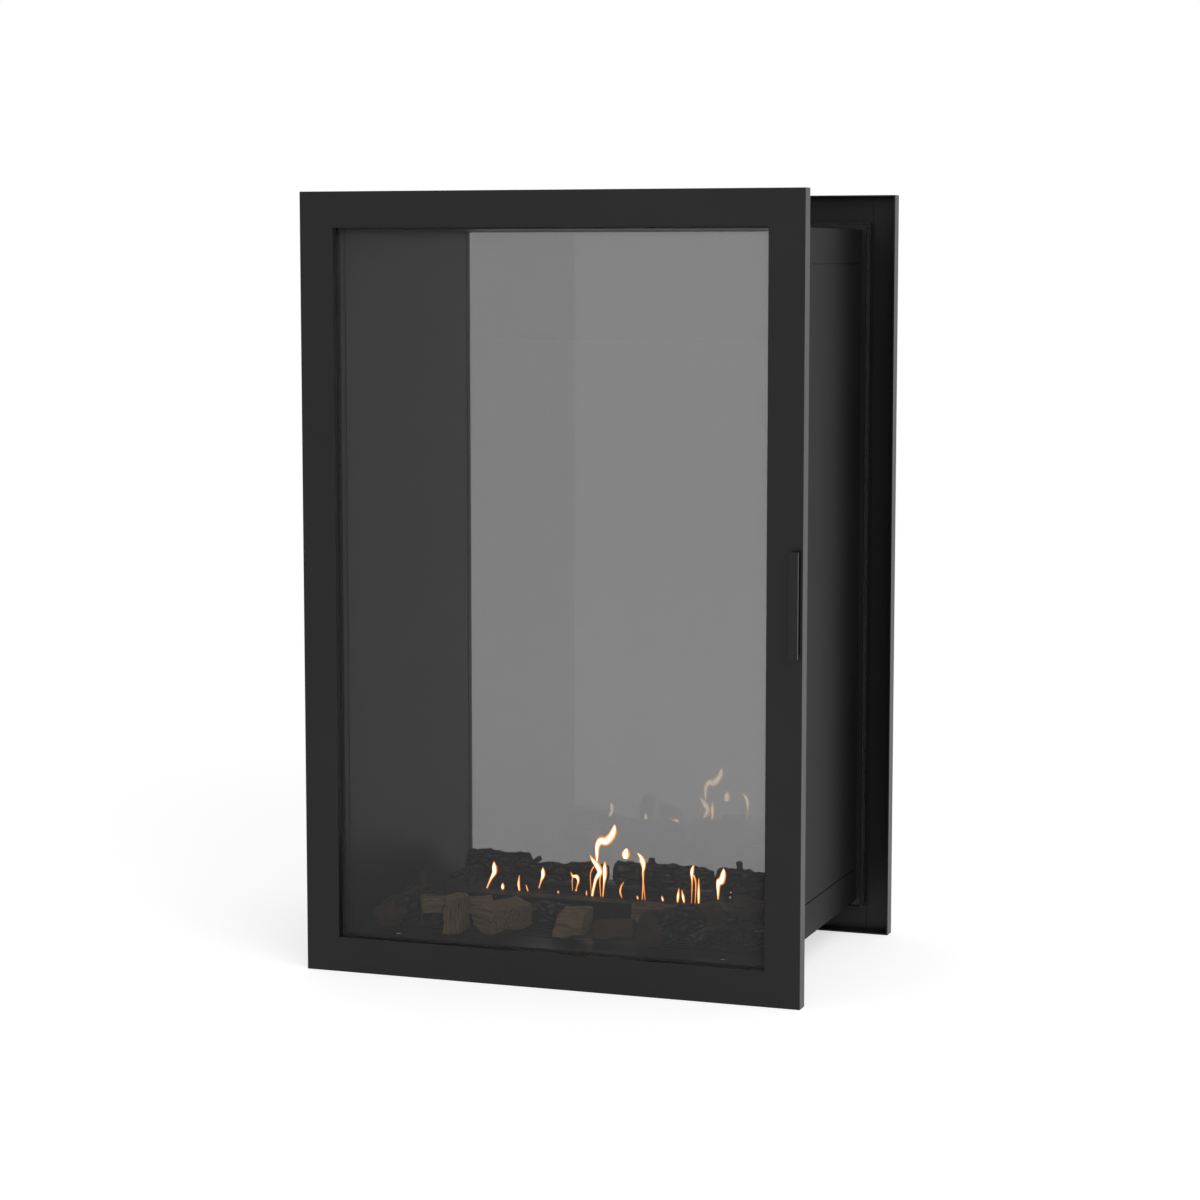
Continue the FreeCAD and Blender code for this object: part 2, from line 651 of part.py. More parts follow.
def with_stub(log, along, height, radius, lean=0.0):
    """Add the stub of a broken branch on top of a log; height is measured from the log's axis."""
    def ring(size, z):
        turns = [2 * math.pi * side / STUB_SIDES for side in range(STUB_SIDES + 1)]
        points = [Vector(size * math.cos(turn), size * math.sin(turn), z).multiply(LOG_UNIT) for turn in turns]
        return Part.makePolygon(points)
    stub = Part.makeLoft([ring(radius, 0), ring(STUB_TAPER * radius, height)], True, True)
    stub.rotate(Vector(0, 0, 0), Vector(0, 1, 0), lean)
    stub.translate(Vector(along * LOG_UNIT, 0, 0))
    return log.fuse(stub)


def lay(log, x, y, yaw, roll=0.0, pitch=0.0, side=0.0, edge=BURNER_FRONT, seat=FLOOR):
    """Roll a log about its length, tip its far end up, turn it and put its lowest point on a seat.

    x is measured from the burner's middle or from a side of it, and y from an edge of it."""
    log.rotate(Vector(0, 0, 0), Vector(1, 0, 0), roll)
    log.rotate(Vector(0, 0, 0), Vector(0, 1, 0), -pitch)
    log.rotate(Vector(0, 0, 0), Vector(0, 0, 1), yaw)
    log.translate(Vector(side + x * LOG_UNIT, edge + y * LOG_UNIT, seat - log.BoundBox.ZMin))
    return log


def settle(log, *supports):
    """Lower a log from a height until it almost touches one of its supports."""
    log.translate(Vector(0, 0, LOG_DROP))
    bed = Part.makeCompound(list(supports))
    gap = log.distToShape(bed)[0]
    while gap > LOG_SEAT_GAP:
        log.translate(Vector(0, 0, LOG_SEAT_GAP / 2 - gap))
        gap = log.distToShape(bed)[0]
    return log


def front_logs():
    """The logs between the burner and the door."""
    left = with_stub(bark_log(57, 5.6, 0.4, bend=1.8), 21.8, 11.6, 2.1, lean=12)
    return {
        "log_left_long": lay(left, -21.7, -12.7, 94, side=BURNER_LEFT),
        "log_split_left": lay(split_log(33.8, 9.9, 150, 1.3), -59.5, -21.1, 26, roll=18),
        "log_upright_chunk": lay(split_log(18.3, 8.5, 130, 2.2), -48.9, -44.4, -60, roll=200, pitch=78),
        "log_split_wedge": lay(split_log(28.9, 12.4, 100, 0.8), -28.2, -30.6, 70, roll=52),
        "log_bark_front": lay(bark_log(21.8, 5.6, 2.9), -14.8, -8.5, -6),
        "log_stump_chunk": lay(split_log(14.2, 10.9, 140, 3.6), 1.4, -34.5, -8, roll=36),
        "log_brown_wedge": lay(split_log(19, 10.6, 100, 4.4), 21.6, -32.2, 8, roll=10),
        "log_pale_block": lay(split_log(21.8, 6.7, 175, 5.1), 32.4, -9.2, 4, roll=84),
        "log_bark_right": lay(bark_log(39.4, 8.8, 1.9, taper=0.97), 51.4, -23.6, 56),
        "log_sliver_right": lay(split_log(26.1, 7.7, 110, 0.3), 83.1, -18.3, 12, roll=150),
    }


def rear_logs():
    """The logs on the rear part of the lid and behind the burner."""
    edge = BURNER_REAR
    grey = with_stub(bark_log(47.9, 6.3, 2.5, bend=0.7), -7, 8.8, 2.5, lean=6)
    knobbed = with_stub(bark_log(31.7, 8.5, 4.1), 13.4, 9.9, 2.1, lean=55)
    right = with_stub(bark_log(43, 9.2, 5.6, bend=-1.8), -9.2, 13.7, 2.1, lean=-6)
    return {
        "log_curved_left": lay(bark_log(35.2, 6.4, 3.3, bend=2.5), -12.2, -1.1, 97, side=BURNER_LEFT, edge=edge),
        "log_red_back": lay(bark_log(56.3, 4.6, 0.9, taper=1.12), -34.2, -3.6, 6, edge=edge, seat=LID_TOP),
        "log_grey_back": lay(grey, 22.9, -3.2, -1, edge=edge, seat=LID_TOP),
        "log_back_left": lay(knobbed, -74.3, 31, 4, edge=edge),
        "log_back_right": lay(right, 65.5, 14.1, 3, edge=edge),
    }


def resting_logs(logs, floor):
    """The logs that lie on other logs: a split log on the right and a branch that leans beside it."""
    sliver = logs["log_sliver_right"]
    neighbour = logs["log_bark_right"]
    split = settle(lay(split_log(25.4, 11.3, 105, 1.1), 84.5, -7.7, 6, roll=-30), floor, sliver, neighbour)
    branch = lay(bark_log(23.9, 3.2, 2.0, bend=1.4, taper=0.8), 66.2, -31, 48, pitch=23)
    branch = settle(branch, floor, split, sliver, neighbour)
    return {"log_split_right": split, "log_branch_right": branch}


# Build every piece

def build_casing():
    floor = base_tray()
    save("base_tray", floor)
    save("right_side_panel", side_panel())
    save("left_side_panel", to_left(side_panel()))
    save("top_cap", to_top(tray()))
    save("front_collar", collar())
    save("rear_collar", to_rear(collar()))
    save("front_rope_seal", rope_seal())
    save("rear_rope_seal", to_rear(rope_seal()))
    return floor


def build_rear_frame():
    save("rear_right_stile", to_rear(fixed_stile()))
    save("rear_left_stile", to_rear(to_left(fixed_stile())))
    save("rear_bottom_rail", to_rear(frame_rail()))
    save("rear_top_rail", to_rear(to_top(frame_rail())))
    save("rear_glass", to_rear(pane()))
    save("rear_glass_tape", to_rear(pane_tape()))
    clips, clip_nuts = glass_clips()
    brackets, bracket_nuts = rear_brackets()
    save("rear_glass_clips", *[to_rear(clip) for clip in clips])
    save("rear_frame_brackets", *brackets)
    save("rear_cap_nuts", *([to_rear(nut) for nut in clip_nuts] + bracket_nuts))


def build_door():
    holes = handle_screw_holes(HANDLE_SCREW_RADIUS + HANDLE_SCREW_CLEARANCE)
    save("door_right_stile", frame_stile().cut(holes))
    save("door_left_stile", to_left(frame_stile()))
    save("door_bottom_rail", frame_rail())
    save("door_top_rail", to_top(frame_rail()))
    save("door_glass", pane())
    save("door_glass_tape", pane_tape())
    clips, nuts = glass_clips()
    for level in HINGE_LEVELS:
        nuts += hinge_nuts(level)
    save("door_glass_clips", *clips)
    save("door_cap_nuts", *nuts)
    save("door_handle", door_handle())
    save("door_handle_screws", *handle_screws())


def build_hinges_and_catches():
    save("hinge_arms", *[hinge_arm(level) for level in HINGE_LEVELS])
    save("hinge_pins", *[hinge_pin(level) for level in HINGE_LEVELS])
    save("hinge_door_leaves", *[hinge_door_leaf(level) for level in HINGE_LEVELS])
    save("catch_brackets", *[catch_bracket(level) for level in CATCH_LEVELS])
    save("catch_magnets", *[catch_magnet(level) for level in CATCH_LEVELS])
    save("strike_plates", *[strike_plate(level) for level in CATCH_LEVELS])


def build_burner():
    save("burner_tank", burner_tank())
    save("burner_wool", burner_wool())
    save("burner_lid", burner_lid())
    save("regulator_shutter", regulator())
    save("regulator_runners", regulator_runner(), to_left(regulator_runner()))


def build_logs(floor):
    logs = front_logs()
    logs.update(rear_logs())
    logs.update(resting_logs(logs, floor))
    for node, log in logs.items():
        save(node, log)


os.makedirs("parts", exist_ok=True)
casing_floor = build_casing()
build_rear_frame()
build_door()
build_hinges_and_catches()
build_burner()
build_logs(casing_floor)
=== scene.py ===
"""Looks of a double-sided ethanol fireplace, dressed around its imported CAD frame."""

import math

import bmesh
import bpy
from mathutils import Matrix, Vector, noise
from mathutils.bvhtree import BVHTree


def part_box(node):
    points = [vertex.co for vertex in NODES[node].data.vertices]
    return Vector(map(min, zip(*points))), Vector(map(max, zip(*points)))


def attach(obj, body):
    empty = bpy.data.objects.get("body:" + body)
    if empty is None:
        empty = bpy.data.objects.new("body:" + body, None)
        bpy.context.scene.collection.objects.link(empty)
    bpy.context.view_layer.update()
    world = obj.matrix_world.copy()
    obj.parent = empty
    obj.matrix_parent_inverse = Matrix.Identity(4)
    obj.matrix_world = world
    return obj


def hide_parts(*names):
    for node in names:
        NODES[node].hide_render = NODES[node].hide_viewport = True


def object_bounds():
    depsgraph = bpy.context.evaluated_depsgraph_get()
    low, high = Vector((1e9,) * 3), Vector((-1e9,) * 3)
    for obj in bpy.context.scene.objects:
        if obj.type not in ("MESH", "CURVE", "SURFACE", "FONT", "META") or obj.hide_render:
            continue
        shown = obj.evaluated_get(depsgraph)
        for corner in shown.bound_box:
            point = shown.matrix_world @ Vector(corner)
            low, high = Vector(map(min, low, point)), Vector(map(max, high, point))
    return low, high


bl_info = {
    "name": "Double-Sided Ethanol Fireplace",
    "version": (1, 0, 0),
    "blender": (4, 5, 0),
    "location": "3D View > Sidebar > Fireplace",
    "description": "Dresses the frames, casing, panes, burner, logs and flames of a built-in fireplace",
    "category": "Object",
}

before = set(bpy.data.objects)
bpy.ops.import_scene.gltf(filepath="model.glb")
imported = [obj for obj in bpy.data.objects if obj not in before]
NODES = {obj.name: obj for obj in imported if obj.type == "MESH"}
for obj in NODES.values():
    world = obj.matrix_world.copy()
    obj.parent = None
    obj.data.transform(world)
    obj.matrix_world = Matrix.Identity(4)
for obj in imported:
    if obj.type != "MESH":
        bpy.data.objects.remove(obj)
CAD_BOX = [list(corner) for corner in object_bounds()]

# Which finish each CAD node has

FRAME_NODES = (
    "door_left_stile", "door_right_stile", "door_bottom_rail", "door_top_rail", "door_handle",
    "rear_left_stile", "rear_right_stile", "rear_bottom_rail", "rear_top_rail",
)
CASING_NODES = (
    "base_tray", "left_side_panel", "right_side_panel", "top_cap", "front_collar", "rear_collar",
)
PANE_NODES = ("door_glass", "rear_glass")
FITTING_NODES = (
    "rear_glass_clips", "rear_frame_brackets", "rear_cap_nuts", "door_glass_clips", "door_cap_nuts",
    "door_handle_screws", "hinge_arms", "hinge_pins", "hinge_door_leaves", "catch_brackets",
    "strike_plates", "regulator_runners",
)
SEAL_NODES = ("front_rope_seal", "rear_rope_seal", "door_glass_tape", "rear_glass_tape")
BURNER_NODES = ("burner_tank", "burner_lid", "regulator_shutter")

# Looks of the logs: bark tone and split wood tone

DARK_BARK = (0.040, 0.037, 0.030)
GREY_BARK = (0.082, 0.080, 0.070)
RED_BARK = (0.080, 0.046, 0.032)
PALE_WOOD = (0.42, 0.290, 0.168)
BROWN_WOOD = (0.125, 0.076, 0.047)
LOG_TONES = {
    "log_left_long": (DARK_BARK, BROWN_WOOD),
    "log_split_left": (DARK_BARK, PALE_WOOD),
    "log_upright_chunk": (GREY_BARK, PALE_WOOD),
    "log_split_wedge": (None, PALE_WOOD),
    "log_bark_front": (GREY_BARK, BROWN_WOOD),
    "log_stump_chunk": (None, PALE_WOOD),
    "log_brown_wedge": (DARK_BARK, BROWN_WOOD),
    "log_pale_block": (GREY_BARK, PALE_WOOD),
    "log_bark_right": (DARK_BARK, BROWN_WOOD),
    "log_sliver_right": (DARK_BARK, PALE_WOOD),
    "log_split_right": (RED_BARK, BROWN_WOOD),
    "log_branch_right": (GREY_BARK, BROWN_WOOD),
    "log_curved_left": (DARK_BARK, BROWN_WOOD),
    "log_red_back": (RED_BARK, BROWN_WOOD),
    "log_grey_back": (GREY_BARK, BROWN_WOOD),
    "log_back_left": (DARK_BARK, BROWN_WOOD),
    "log_back_right": (DARK_BARK, BROWN_WOOD),
}

# Forms of flame as points from foot to tip: share of the height, sideways place as a share of the height,
# and share of the flame's greatest width

FLAME_FORMS = {
    "bead": ((0, 0, 0.6), (0.45, 0.02, 1), (1, 0.05, 0.2)),
    "leaf": ((0, 0, 0.7), (0.4, -0.06, 1), (0.8, -0.03, 0.55), (1, 0, 0.2)),
    "strand": ((0, 0, 0.4), (0.7, -0.02, 0.75), (1, 0.05, 1)),
    "crescent": ((0, 0, 0.3), (0.35, -0.12, 1), (0.7, -0.06, 0.8), (1, 0.12, 0.3)),
    "tongue": ((0, 0, 0.3), (0.35, 0.16, 0.5), (0.6, 0.3, 1), (0.8, 0.3, 1), (1, 0.28, 0.2)),
    "hook": ((0, 0, 0.5), (0.2, 0.04, 0.3), (0.55, 0.13, 0.65), (0.78, 0.05, 1),
             (0.8, -0.18, 0.65), (1, -0.3, 0.15)),
    "sway": ((0, 0, 0.4), (0.4, 0.09, 0.55), (0.6, 0.2, 0.95), (0.77, 0.12, 1),
             (0.88, 0.02, 0.55), (1, -0.06, 0.15)),
    "torch": ((0, 0, 0.15), (0.5, -0.05, 0.35), (0.7, -0.03, 0.7), (0.82, -0.04, 1),
              (0.94, -0.11, 0.7), (1, -0.19, 0.15)),
    "swirl": ((0, 0, 0.2), (0.22, 0, 0.4), (0.44, 0.01, 0.6), (0.58, 0.1, 0.9),
              (0.58, 0.23, 1), (0.7, 0.36, 0.9), (0.85, 0.43, 0.7), (1, 0.45, 0.15)),
}

# Flames over the slits: form, place along the burner, slit counted from the burner's middle, foot above the
# lid, height and width, with lengths in millimetres, and lean, where a negative lean mirrors the form

FLAMES = (
    ("tongue", -163, -2, 0, 37, 7.0, 1.0),
    ("bead", -140, -2, 0, 9, 5.0, 0.0),
    ("leaf", -116, -2, 0, 21, 3.7, 1.0),
    ("bead", -104, -2, 0, 9, 2.2, -7.0),
    ("tongue", -97, 0, 0, 29, 5.5, 0.7),
    ("hook", -44, 0, 0, 25, 5.5, 1.0),
    ("strand", -49, 0, 0, 20, 2.0, 1.0),
    ("bead", -61, -2, 0, 4, 2.4, 0.0),
    ("bead", -21, -2, 0, 7, 2.2, 0.0),
    ("sway", -13, -2, 0, 55, 8.5, 1.0),
    ("strand", -14, -2, 0, 40, 2.0, 1.8),
    ("tongue", 2, -2, 0, 48, 6.0, 0.2),
    ("strand", -1, -2, 0, 33, 2.6, 1.7),
    ("swirl", -6, -2, 43, 55, 12.5, 1.0),
    ("crescent", 29, -2, 0, 22, 2.6, 1.0),
    ("bead", 30, -1, 51, 14, 12.5, 2.0),
    ("bead", 51, -2, 0, 5, 2.8, -5.0),
    ("torch", 61, -2, 0, 62, 6.7, 1.0),
    ("strand", 57, -2, 0, 54, 3.4, -1.3),
    ("bead", 86, -2, 0, 7, 3.4, -6.0),
    ("bead", 106, -2, 0, 19, 4.1, 2.0),
    ("bead", 115, -2, 0, 17, 4.1, -4.0),
    ("torch", 125, -2, 0, 51, 5.4, -0.35),
    ("strand", 130, -2, 0, 38, 2.6, -1.2),
    ("leaf", 135, -2, 0, 34, 3.9, 0.0),
    ("swirl", 151, 1, 0, 42, 10.0, 0.4),
    ("bead", 165, 2, 0, 9, 3.7, 0.0),
)

# Make of the flames, with the slit pitch and the least half width in millimetres

MM = 0.001
SLIT_PITCH = 11.4
THIN_FLAME = 0.3
FLAME_DEPTH = 0.6
FLAME_TIP = 0.3
FLAME_SIDES = 14
FLAME_STEPS = 7

# Warmth of a flame: that of a thread, the half width in metres that adds full warmth, and the share of the
# core's colour in the amber beside the edge

THREAD_WARMTH = 0.25
HOT_REACH = 0.0036
AMBER_SHARE = (0.25, 0.28, 0.14)

# Kinds of log surface, and noise scales of their relief, across a log and along it

BARK = 0
SAWN = 1
SPLIT = 2
BARK_PLATES = (105, 46)
BARK_CRUST = (230, 130)
BARK_FLAKES = (520, 330)
GRAIN_RIBS = (330, 18)
GRAIN_STEPS = (90, 11)
GRAIN_SPLINTERS = (150, 34)
KNOT_SCALE = 30
BURL_SCALE = 78
SAW_SCALE = 240

# Seed that keeps the noise the same in each run, and how far each log's noise lies from the last one's

NOISE_SEED = 7
GRAIN_SHIFT = (3.1, 1.7, 2.3)
KNOT_SHIFT = (1.9, 2.7, 0.8)

# How wide and how crooked the cracks in bark are, and the level of each relief that keeps the CAD surface

CRACK_WIDTH = 0.34
CRACK_WARP = 0.35
WARP_SCALE = 60
WARP_DRIFT = 0.1
BARK_DATUM = 0.75
WOOD_DATUM = 0.9

# Shares of the lumps that split logs and bare wood keep, and of the length that their streaks keep

SPLIT_LUMP = 0.4
WOOD_LUMP = 0.3
STREAK_LENGTH = 0.08

# Shades of the small matte pieces, dark and light

MAGNET_TONES = ((0.016, 0.016, 0.017), (0.035, 0.035, 0.036))
WOOL_TONES = ((0.45, 0.44, 0.41), (0.8, 0.79, 0.75))

# Haze of the panes, partly a painted sheen, their roughness and how squarely their front faces look forwards,
# spread of the powder coat's roughness, and stretch of the burner's brush marks

PANE_HAZE_AND_SHEEN = (0.075, 0.075, 0.076, 1)
PANE_ROUGHNESS = 0.015
FACING = 0.9
COAT_SPREAD = 0.012
BRUSH_STRETCH = (30, 900, 900)

# Studio in metres, with the camera's sensor in millimetres

FLOOR_REACH = 30.0
LAMP_SIZE = (2.4, 1.8)
LAMP_PLACE = (2.2, -2.6, 2.8)
LAMP_AIM = (0, 0, 0.4)
SENSOR_WIDTH = 36
WHITE = (1, 1, 1, 1)


class FireplaceFinish(bpy.types.PropertyGroup):
    """Colours and gloss of the metal and the panes."""

    coat: bpy.props.FloatVectorProperty(
        name="Powder coat", description="Colour of the frames and the casing", subtype="COLOR", size=3,
        min=0, max=1, default=(0.0085, 0.0085, 0.0088))
    coat_roughness: bpy.props.FloatProperty(
        name="Coat roughness", description="How far the satin coat spreads a reflection", subtype="FACTOR",
        min=0, max=1, default=0.36)
    outside_roughness: bpy.props.FloatProperty(
        name="Outside roughness", description="Roughness of the casing's outer faces",
        subtype="FACTOR", min=0, max=1, default=0.42)
    # Painted shade: the outer faces' low gloss dims their reflections in place of darker surroundings on that
    # side
    outside_shaded_gloss: bpy.props.FloatProperty(
        name="Outside gloss", description="Specular level of the casing's outer faces",
        subtype="FACTOR", min=0, max=1, default=0.05)
    frame_gloss: bpy.props.FloatProperty(
        name="Frame gloss", description="How strongly the frames mirror their surroundings", subtype="FACTOR",
        min=0, max=1, default=0.25)
    casing_gloss: bpy.props.FloatProperty(
        name="Casing gloss", description="How strongly the casing mirrors its surroundings", subtype="FACTOR",
        min=0, max=1, default=0.32)
    pane_opacity: bpy.props.FloatProperty(
        name="Pane opacity", description="Share of the light that one face of a tinted pane holds back",
        subtype="FACTOR", min=0, max=1, default=0.352)
    pane_sheen: bpy.props.FloatProperty(
        name="Pane sheen", description="Refractive index behind the panes' faint sheen",
        min=1, soft_max=4, default=1.18)
    fire_mirror: bpy.props.FloatProperty(
        name="Fire mirror", description="Refractive index of the rear pane where it mirrors the fire",
        min=1, soft_max=4, default=3.6)
    zinc: bpy.props.FloatVectorProperty(
        name="Black zinc", description="Colour of the clips, hinges and nuts", subtype="COLOR", size=3,
        min=0, max=1, default=(0.020, 0.020, 0.021))
    burner: bpy.props.FloatVectorProperty(
        name="Burner steel", description="Colour of the heat-darkened burner", subtype="COLOR", size=3,
        min=0, max=1, default=(0.012, 0.0115, 0.011))


class FireplaceLogs(bpy.types.PropertyGroup):
    """Relief of the ceramic logs."""

    cell: bpy.props.FloatProperty(
        name="Relief cell", description="Size of the cells that carry the relief", subtype="DISTANCE",
        unit="LENGTH", min=0.001, default=0.0017)
    bark_depth: bpy.props.FloatProperty(
        name="Bark depth", description="Depth of the furrows in the bark", subtype="DISTANCE", unit="LENGTH",
        min=0, default=0.0048)
    lump: bpy.props.FloatProperty(
        name="Lumps", description="How far knots and hollows swell the bark",
        subtype="DISTANCE", unit="LENGTH", min=0, default=0.0070)
    grain_depth: bpy.props.FloatProperty(
        name="Grain depth", description="Depth of the fibres on a split face",
        subtype="DISTANCE", unit="LENGTH", min=0, default=0.0014)


class FireplaceFire(bpy.types.PropertyGroup):
    """Colour and strength of the flames."""

    core: bpy.props.FloatVectorProperty(
        name="Flame core", description="Colour of the flames' bright middle", subtype="COLOR", size=3,
        min=0, max=1, default=(1.0, 0.86, 0.58))
    edge: bpy.props.FloatVectorProperty(
        name="Flame edge", description="Colour of the flames' thin edge", subtype="COLOR", size=3,
        min=0, max=1, default=(0.42, 0.088, 0.010))
    strength: bpy.props.FloatProperty(
        name="Flame strength", description="How brightly the flames glow", min=0, default=5.2)
    width: bpy.props.FloatProperty(
        name="Flame width", description="Widens or narrows every flame",
        subtype="FACTOR", min=0.2, soft_max=3, default=1.0)


class FireplaceStudio(bpy.types.PropertyGroup):
    """Camera and light."""

    lens: bpy.props.FloatProperty(
        name="Lens", description="Focal length of the camera",
        subtype="DISTANCE_CAMERA", min=10, default=90.75)
    station: bpy.props.FloatVectorProperty(
        name="Station", description="Where the camera stands", subtype="TRANSLATION", unit="LENGTH", size=3,
        default=(1.310, -3.734, 0.8665))
    heading: bpy.props.FloatProperty(
        name="Heading", description="How far the camera turns to the left", subtype="ANGLE",
        default=math.radians(19.47))
    tilt: bpy.props.FloatProperty(
        name="Tilt", description="How far the camera looks down", subtype="ANGLE", default=math.radians(6.38))
    ambient: bpy.props.FloatProperty(
        name="Ambient", description="Strength of the soft light from all round", min=0, default=0.55)
    key: bpy.props.FloatProperty(
        name="Key", description="Power of the large soft lamp",
        subtype="POWER", unit="POWER", min=0, default=60)
    floor: bpy.props.FloatProperty(
        name="Floor", description="How pale the floor is to light",
        subtype="FACTOR", min=0, max=1, default=0.6)
    floor_glow: bpy.props.FloatProperty(
        name="Floor glow", description="White that the floor adds where it is seen", subtype="FACTOR",
        min=0, max=1, default=0.62)


# Material helpers

def new_material(name):
    """A material with one Principled shader; returns the material and its tools."""
    material = bpy.data.materials.new(name)
    material.use_nodes = True
    return material, *material_tools(material)


def material_tools(material):
    """What adds a node to a material, what links two sockets, and the material's shader."""
    tree = material.node_tree

    def add(kind, **values):
        node = tree.nodes.new(kind)
        for key, value in values.items():
            if key in node.inputs:
                node.inputs[key].default_value = value
            else:
                setattr(node, key, value)
        return node
    return add, tree.links.new, tree.nodes["Principled BSDF"]


def object_points(add, link, scale=(1, 1, 1)):
    """Object coordinates, stretched by a scale for each axis."""
    place = add("ShaderNodeTexCoord")
    stretch = add("ShaderNodeMapping")
    stretch.inputs["Scale"].default_value = scale
    link(place.outputs["Object"], stretch.inputs["Vector"])
    return stretch.outputs["Vector"]


def noise_level(add, link, points, scale, detail, roughness=0.5):
    """The level of a noise texture at each point."""
    texture = add("ShaderNodeTexNoise", Scale=scale, Detail=detail, Roughness=roughness)
    link(points, texture.inputs["Vector"])
    return texture.outputs["Fac"]


def bump_over(add, link, height, strength, distance):
    """A bump node over a height."""
    bump = add("ShaderNodeBump", Strength=strength, Distance=distance)
    link(height, bump.inputs["Height"])
    return bump


def blend_ramp(add, link, factor, stops):
    """A colour ramp through (place, colour) stops."""
    ramp = add("ShaderNodeValToRGB")
    while len(ramp.color_ramp.elements) < len(stops):
        ramp.color_ramp.elements.new(0.5)
    for element, (place, colour) in zip(ramp.color_ramp.elements, stops):
        element.position = place
        element.color = (*colour, 1)
    link(factor, ramp.inputs["Fac"])
    return ramp.outputs["Color"]


def value_range(add, link, value, low, high):
    """A value from 0 to 1, spread over another range."""
    spread = add("ShaderNodeMapRange", **{"To Min": low, "To Max": high})
    link(value, spread.inputs["Value"])
    return spread.outputs["Result"]


def shade(colour, factor):
    """A colour made lighter or darker."""
    return tuple(min(1.0, part * factor) for part in colour)


def wear(nodes, material):
    """Give CAD nodes one material."""
    for name in nodes:
        mesh = NODES[name].data
        mesh.materials.clear()
        mesh.materials.append(material)


def wear_on_faces(nodes, material, chosen):
    """Give CAD nodes a second material on the faces that a test chooses."""
    for name in nodes:
        mesh = NODES[name].data
        mesh.materials.append(material)
        for face in mesh.polygons:
            face.material_index = int(chosen(face))


def looks_outwards(face, middle):
    """Whether a face looks away from the casing's inside, seen from its middle height."""
    return face.center.x * face.normal.x + (face.center.z - middle) * face.normal.z > 0


def looks_forwards(face):
    """Whether a face looks to the front."""
    return face.normal.y < -FACING


def seen_rays(tree):
    """1 where a camera, mirror or glass sees a surface, and 0 where it only gives light."""
    rays = tree.nodes.new("ShaderNodeLightPath")
    mirrored = tree.nodes.new("ShaderNodeMath")
    mirrored.operation = "MAXIMUM"
    seen = tree.nodes.new("ShaderNodeMath")
    seen.operation = "MAXIMUM"
    tree.links.new(rays.outputs["Is Camera Ray"], mirrored.inputs[0])
    tree.links.new(rays.outputs["Is Glossy Ray"], mirrored.inputs[1])
    tree.links.new(mirrored.outputs[0], seen.inputs[0])
    tree.links.new(rays.outputs["Is Transmission Ray"], seen.inputs[1])
    return seen.outputs[0]


# Materials of the metal, the panes and the seals

def powder_coat(name, finish, gloss, rough):
    """Black powder coat: faint cloudy patches, a fine grain in its sheen and a broad highlight."""
    material, add, link, shader = new_material(name)
    points = object_points(add, link)
    clouds = noise_level(add, link, points, 7.0, 4.0)
    grain = noise_level(add, link, points, 900.0, 2.0)
    coat = tuple(finish.coat)
    stops = ((0.3, shade(coat, 0.85)), (0.7, shade(coat, 1.2)))
    link(blend_ramp(add, link, clouds, stops), shader.inputs["Base Color"])
    spread = value_range(add, link, grain, rough - COAT_SPREAD, rough + COAT_SPREAD)
    link(spread, shader.inputs["Roughness"])
    shader.inputs["Specular IOR Level"].default_value = gloss
    return material


def tinted_pane(name, finish):
    """Dark tinted glass with a faint sheen, and a faint haze that is partly a painted sheen."""
    material, *_, shader = new_material(name)
    # Painted sheen in part: a diffuse haze stands in for most of the panes' mirrored veil
    shader.inputs["Base Color"].default_value = PANE_HAZE_AND_SHEEN
    shader.inputs["Roughness"].default_value = PANE_ROUGHNESS
    shader.inputs["IOR"].default_value = finish.pane_sheen
    shader.inputs["Alpha"].default_value = finish.pane_opacity
    return material


def inside_node(add, link, node):
    """1 within a CAD node's width and height, and 0 outside."""
    low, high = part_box(node)
    place = add("ShaderNodeSeparateXYZ")
    link(object_points(add, link), place.inputs["Vector"])
    inside = add("ShaderNodeMath", operation="MULTIPLY")
    for entry, axis in enumerate((0, 2)):
        near = add("ShaderNodeMath", operation="COMPARE")
        near.inputs[1].default_value = (low[axis] + high[axis]) / 2
        near.inputs[2].default_value = (high[axis] - low[axis]) / 2
        link(place.outputs[axis], near.inputs[0])
        link(near.outputs[0], inside.inputs[entry])
    return inside.outputs[0]


def mirror_pane(finish):
    """Tinted glass that mirrors the fire, as far as the seal around the rear pane."""
    material = tinted_pane("mirror_pane", finish)
    add, link, shader = material_tools(material)
    inside = inside_node(add, link, "rear_rope_seal")
    shader.inputs["IOR"].default_value = finish.fire_mirror
    link(value_range(add, link, inside, finish.pane_sheen, finish.fire_mirror), shader.inputs["IOR"])
    return material


def black_zinc(finish):
    """Black zinc on steel, with a faint crystalline mottle."""
    material, add, link, shader = new_material("black_zinc")
    cells = add("ShaderNodeTexVoronoi", Scale=260.0)
    link(object_points(add, link), cells.inputs["Vector"])
    zinc = tuple(finish.zinc)
    stops = ((0.0, shade(zinc, 0.75)), (1.0, shade(zinc, 1.4)))
    link(blend_ramp(add, link, cells.outputs["Distance"], stops), shader.inputs["Base Color"])
    link(value_range(add, link, cells.outputs["Distance"], 0.34, 0.5), shader.inputs["Roughness"])
    shader.inputs["Metallic"].default_value = 0.6
    return material


